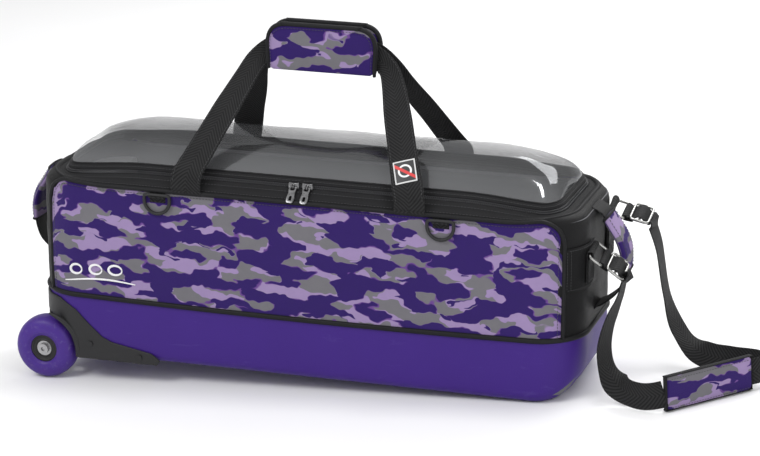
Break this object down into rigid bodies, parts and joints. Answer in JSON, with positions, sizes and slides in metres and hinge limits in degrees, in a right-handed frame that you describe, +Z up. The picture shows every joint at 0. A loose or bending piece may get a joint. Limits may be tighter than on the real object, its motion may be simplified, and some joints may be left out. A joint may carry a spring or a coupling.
{
  "type": "rolling bowling bag",
  "caption": "Long soft bag for bowling balls with two wheels at one end, a clear domed lid, a padded carry handle, end handles and a tow strap.",
  "frame": {"origin": "middle of the footprint on the floor, with the bag standing on its two wheels and the far end of its base, measured without the tow strap's webbing and grip", "axes": "+X along the bag from the wheels to the tow strap, +Y from the front with the zip pulls to the back, +Z up"},
  "size_m": [1.0782, 0.2549, 0.5083],
  "materials": {
    "camo_fabric": "woven print in three tones",
    "black_nylon": "woven nylon",
    "black_webbing": "ribbed webbing",
    "grey_lining": "smooth taffeta",
    "foam": "cloth-faced foam",
    "coated_base": "smooth coated cloth",
    "black_plastic": "fine moulded texture",
    "board": "sheet board",
    "urethane": "smooth cast urethane",
    "clear_vinyl": "clear soft sheet",
    "zip_metal": "bright cast metal",
    "zip_coil": "nylon coil",
    "steel_wire": "bright steel wire",
    "black_ring": "moulded ring",
    "steel": "plain steel",
    "label": "printed patch"
  },
  "bodies": {
    "bag": {"back_panel": "camo_fabric", "ball_cradles": "foam", "base_board": "board", "base_piping": "black_nylon", "base_tray": "coated_base", "board_rivets": "steel", "d_ring_tabs": "black_webbing", "end_handle_left": "black_webbing", "end_handle_right": "black_webbing", "end_pad_left": "foam", "end_pad_right": "foam", "end_panel_left": "black_nylon", "end_panel_right": "black_nylon", "end_sleeve_left": "camo_fabric", "end_sleeve_right": "camo_fabric", "front_panel": "camo_fabric", "housing_screws": "steel", "lining": "grey_lining", "panel_piping": "black_nylon", "stiffener_back": "board", "stiffener_front": "board", "stiffener_left": "board", "stiffener_right": "board", "tow_tabs": "black_webbing", "wheel_bolts": "steel", "wheel_housing": "black_plastic", "wheel_nuts": "steel", "wheel_spacers": "steel", "wheel_washers": "steel", "zip_band": "black_nylon", "zip_teeth_lower": "zip_coil"},
    "handle_front": {"carry_strap_front": "black_webbing", "grip_pad_front": "camo_fabric", "grip_hook_tape": "black_webbing", "label_patch": "label"},
    "handle_back": {"carry_strap_back": "black_webbing", "grip_pad_back": "camo_fabric", "grip_loop_tape": "black_webbing"},
    "lid": {"lid_frame": "black_nylon", "lid_window": "clear_vinyl", "zip_teeth_upper": "zip_coil"},
    "wheel_front": {"wheel_tyre_front": "urethane", "wheel_core_front": "black_plastic", "wheel_bearings_front": "steel"},
    "wheel_back": {"wheel_tyre_back": "urethane", "wheel_core_back": "black_plastic", "wheel_bearings_back": "steel"},
    "slider_left": {"zip_slider_left": "zip_metal"},
    "slider_right": {"zip_slider_right": "zip_metal"},
    "pull_left": {"zip_pull_left": "zip_metal"},
    "pull_right": {"zip_pull_right": "zip_metal"},
    "d_ring_left": {"d_ring_left": "black_ring"},
    "d_ring_right": {"d_ring_right": "black_ring"},
    "tow_strap": {"tow_ring_front": "steel_wire", "tow_ring_back": "steel_wire", "tow_slider_front": "steel_wire", "tow_slider_back": "steel_wire", "tow_strap_front": "black_webbing", "tow_strap_back": "black_webbing", "tow_grip": "camo_fabric"}
  },
  "joints": [
    {"name": "wheel_front_spin", "type": "hinge", "parent": "bag", "child": "wheel_front", "pos_m": [-0.40713, -0.09975, 0.046], "axis": [0, 1, 0], "continuous": true},
    {"name": "wheel_back_spin", "type": "hinge", "parent": "bag", "child": "wheel_back", "pos_m": [-0.40713, 0.10225, 0.046], "axis": [0, 1, 0], "continuous": true},
    {"name": "zip_left_slide", "type": "slide", "parent": "bag", "child": "slider_left", "axis": [-0.9983, 0, 0.0584], "range_m": [0, 0.28]},
    {"name": "zip_right_slide", "type": "slide", "parent": "bag", "child": "slider_right", "axis": [0.9983, 0, -0.0584], "range_m": [0, 0.28]},
    {"name": "pull_left_lift", "type": "hinge", "parent": "slider_left", "child": "pull_left", "pos_m": [-0.01082, -0.10645, 0.2968], "axis": [-0.9983, 0, 0.0584], "range_deg": [0, 90]},
    {"name": "pull_right_lift", "type": "hinge", "parent": "slider_right", "child": "pull_right", "pos_m": [0.00915, -0.10645, 0.29563], "axis": [-0.9983, 0, 0.0584], "range_deg": [0, 90]},
    {"name": "handle_front_drop", "type": "hinge", "parent": "bag", "child": "handle_front", "pos_m": [-0.00159, -0.12375, 0.28323], "axis": [0.9983, 0, -0.0584], "range_deg": [0, 165]},
    {"name": "handle_back_drop", "type": "hinge", "parent": "bag", "child": "handle_back", "pos_m": [-0.00159, 0.12625, 0.28323], "axis": [-0.9983, 0, 0.0584], "range_deg": [0, 165]},
    {"name": "lid_fold", "type": "hinge", "parent": "bag", "child": "lid", "pos_m": [-0.00088, 0.10075, 0.29551], "axis": [-0.9983, 0, 0.0584], "range_deg": [0, 106]},
    {"name": "d_ring_left_lift", "type": "hinge", "parent": "bag", "child": "d_ring_left", "pos_m": [-0.20891, -0.12295, 0.28384], "axis": [-0.9983, 0, 0.0584], "range_deg": [0, 120]},
    {"name": "d_ring_right_lift", "type": "hinge", "parent": "bag", "child": "d_ring_right", "pos_m": [0.20438, -0.12295, 0.25967], "axis": [-0.9983, 0, 0.0584], "range_deg": [0, 120]},
    {"name": "tow_swing", "type": "hinge", "parent": "bag", "child": "tow_strap", "pos_m": [0.40071, -0.06075, 0.20813], "axis": [-0.0124, -0.9773, -0.2114], "range_deg": [0, 70]}
  ],
  "couplings": [
    {"joint": "handle_back_drop", "follows": "handle_front_drop", "ratio": 1},
    {"joint": "lid_fold", "follows": "handle_front_drop", "ratio": 0.64}
  ]
}
